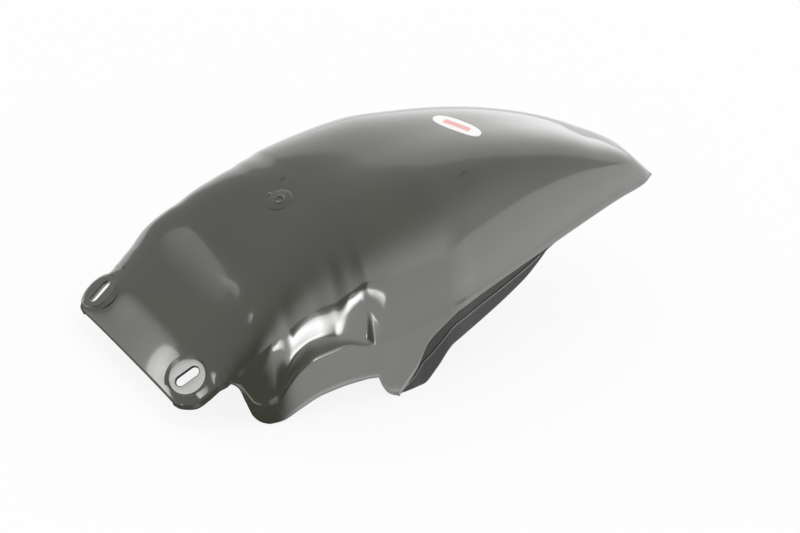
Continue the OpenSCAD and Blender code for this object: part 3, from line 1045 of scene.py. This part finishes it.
# %% [markdown]
# ## Glossy black plastic
#
# The plastic is black right through and comes glossy out of the mould, so it is made as a
# clear coat over a black body. Real gloss is never perfect: the sheet waves a little
# where it cooled last, it has a faint orange peel, and handling leaves dull clouds. The
# waves and the peel go into the bump, and the clouds into the roughness of the body. The
# crown also has a small smudge and a short scuff, where the coat has gone dull. On the
# inside and the tucked-in strips an attribute of the mesh mixes in a matt black: a matt
# finish there, and a darker colour that is painted shade, since these surfaces lie in
# shade. Painted maps could hold all this, but formulas on Object coordinates stay sharp
# at any size.

# %% Scuffs on the crown
SCUFFS = [((-92.4, 19.1), (1, 0), 3.6, 2.6), ((45.5, -54), (0.95, 0.3), 8.5, 1.6)]


def dull_spot(board, where, at, direction, long, wide):
    """A small matt spot of the crown: 1 in its middle, 0 outside its oval."""
    x, y = at
    centre = stand([x, y, surface_height(x, y)])
    run = np.array([direction[0], direction[1], 0]) / math.hypot(*direction)
    side = np.array([-run[1], run[0], 0])
    total = 0.0
    for axis, reach in ((run, long), (side, wide)):
        along = board.node("ShaderNodeVectorMath", {"operation": "DOT_PRODUCT"},
                           {0: where, 1: tuple(axis)}, out=1)
        far = (along - float(axis.dot(centre))) * (1 / (reach * MM))
        total = far * far + total
    return 1 - board.band(total, 0.3, 1.0)


print("scuffs:", len(SCUFFS))

# %% The plastic
BLACK, CLOUDED_BLACK = (0.037, 0.038, 0.026, 1), (0.042, 0.044, 0.026, 1)
# The matt black below is darker than the gloss black: painted shade on the inside and the
# strips, along with their matt finish.
MATT_AND_PAINTED_SHADE_BLACK = (0.022, 0.022, 0.020, 1)
GLOSS_IOR, MATT_IOR = 1.8, 1.45
COAT_ROUGHNESS, MATT_ROUGHNESS = 0.06, 0.5
CLOUDS, CLOUD_BAND = (11, 3, 0.55), (0.38, 0.66)
WIPES, WIPE_BAND = (46, 4, 0.6), (0.5, 0.72)
WAVES, WAVE_BUMP, WAVE_DEPTH = (26, 1, 0.4), 0.5, 0.0012
PEEL, PEEL_BUMP, PEEL_DEPTH = (420, 2, 0.5), 0.12, 0.0001
BODY_ROUGHNESS, CLOUDED, WIPED, SCUFFED = 0.13, 0.07, 0.05, 0.25
COAT_LOSS = 0.9


def black_plastic(finish):
    board = Board(finish)
    where = board.node("ShaderNodeTexCoord", out=3)
    clouds = board.band(board.noise(where, *CLOUDS), *CLOUD_BAND)
    wipes = board.band(board.noise(where, *WIPES), *WIPE_BAND)
    tone = board.blend(clouds, BLACK, CLOUDED_BLACK)
    rough = BODY_ROUGHNESS + CLOUDED * clouds + WIPED * wipes
    waves = board.noise(where, *WAVES)
    peel = board.noise(where, *PEEL)
    ripple = board.node("ShaderNodeBump", {},
                        {"Strength": WAVE_BUMP, "Distance": WAVE_DEPTH, "Height": waves})
    skin = board.node("ShaderNodeBump", {},
                      {"Strength": PEEL_BUMP, "Distance": PEEL_DEPTH, "Height": peel,
                       "Normal": ripple})
    scuffs = sum((dull_spot(board, where, *spot) for spot in SCUFFS[1:]),
                 dull_spot(board, where, *SCUFFS[0])).clamped()
    gloss = board.node("ShaderNodeBsdfPrincipled", {},
                       {"Base Color": tone, "Roughness": rough + SCUFFED * scuffs,
                        "IOR": GLOSS_IOR, "Coat Weight": 1 - COAT_LOSS * scuffs,
                        "Coat Roughness": COAT_ROUGHNESS, "Coat IOR": GLOSS_IOR,
                        "Normal": skin})
    # This matt shader paints shade on the inside and the strips with its darker colour.
    back = board.node("ShaderNodeBsdfPrincipled", {},
                      {"Base Color": MATT_AND_PAINTED_SHADE_BLACK, "Roughness": MATT_ROUGHNESS, "IOR": MATT_IOR,
                       "Normal": skin})
    matt_and_painted_shade = board.node("ShaderNodeAttribute", {"attribute_name": "matt_and_painted_shade"}, out=2)
    both = board.node("ShaderNodeMixShader", {}, {0: matt_and_painted_shade.clamped(), 1: gloss, 2: back})
    board.node("ShaderNodeOutputMaterial", {}, {"Surface": both})


black_plastic(black)
moulded = [shell, mark, pip] + pads + beads
for piece in moulded:
    piece.data.materials.clear()
    piece.data.materials.append(black)
print("finish on", len(moulded), "pieces")

# %% [markdown]
# ## The label's print
#
# The label is white film with one pale red bar. An image would do, but two soft limits on
# the label's own UV map draw the bar in a few nodes and need no file.

# %% One bar on white
LABEL_WHITE = (0.90, 0.90, 0.89, 1)
PALE_RED, FADED_RED = (0.80, 0.36, 0.34, 1), (0.84, 0.44, 0.42, 1)
BAR_LONG, BAR_WIDE = (0.52, 0.58), (0.13, 0.18)


def label_print():
    finish = bpy.data.materials.new("printed_label")
    board = Board(finish)
    place = board.node("ShaderNodeUVMap", {"uv_map": "print"})
    parts = board.node("ShaderNodeSeparateXYZ", {}, {0: place})
    along = Wire(board, parts.socket)
    across = Wire(board, parts.socket.node.outputs[1])
    long_way = board.band(along.math("ABSOLUTE", along), *BAR_LONG)
    wide_way = board.band(across.math("ABSOLUTE", across), *BAR_WIDE)
    bar = (1 - long_way) * (1 - wide_way)
    fibre = board.noise(board.node("ShaderNodeTexCoord", out=3), 900, 3)
    ink = board.blend(fibre, PALE_RED, FADED_RED)
    tone = board.blend(bar, LABEL_WHITE, ink)
    shader = board.node("ShaderNodeBsdfPrincipled", {},
                        {"Base Color": tone, "Roughness": 0.28 + 0.08 * fibre,
                         "Coat Weight": 0.4, "Coat Roughness": 0.1})
    board.node("ShaderNodeOutputMaterial", {}, {"Surface": shader})
    return finish


label.data.materials.append(label_print())
print("label printed with one plain bar")

# %% [markdown]
# ## Handing the pieces over
#
# The whole fender is one moulded piece, so everything rides on the one body and stands
# for the one node.

# %% Bodies and nodes
for piece in moulded + [label]:
    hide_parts("fender")
    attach(piece, "root")
print("pieces handed over")
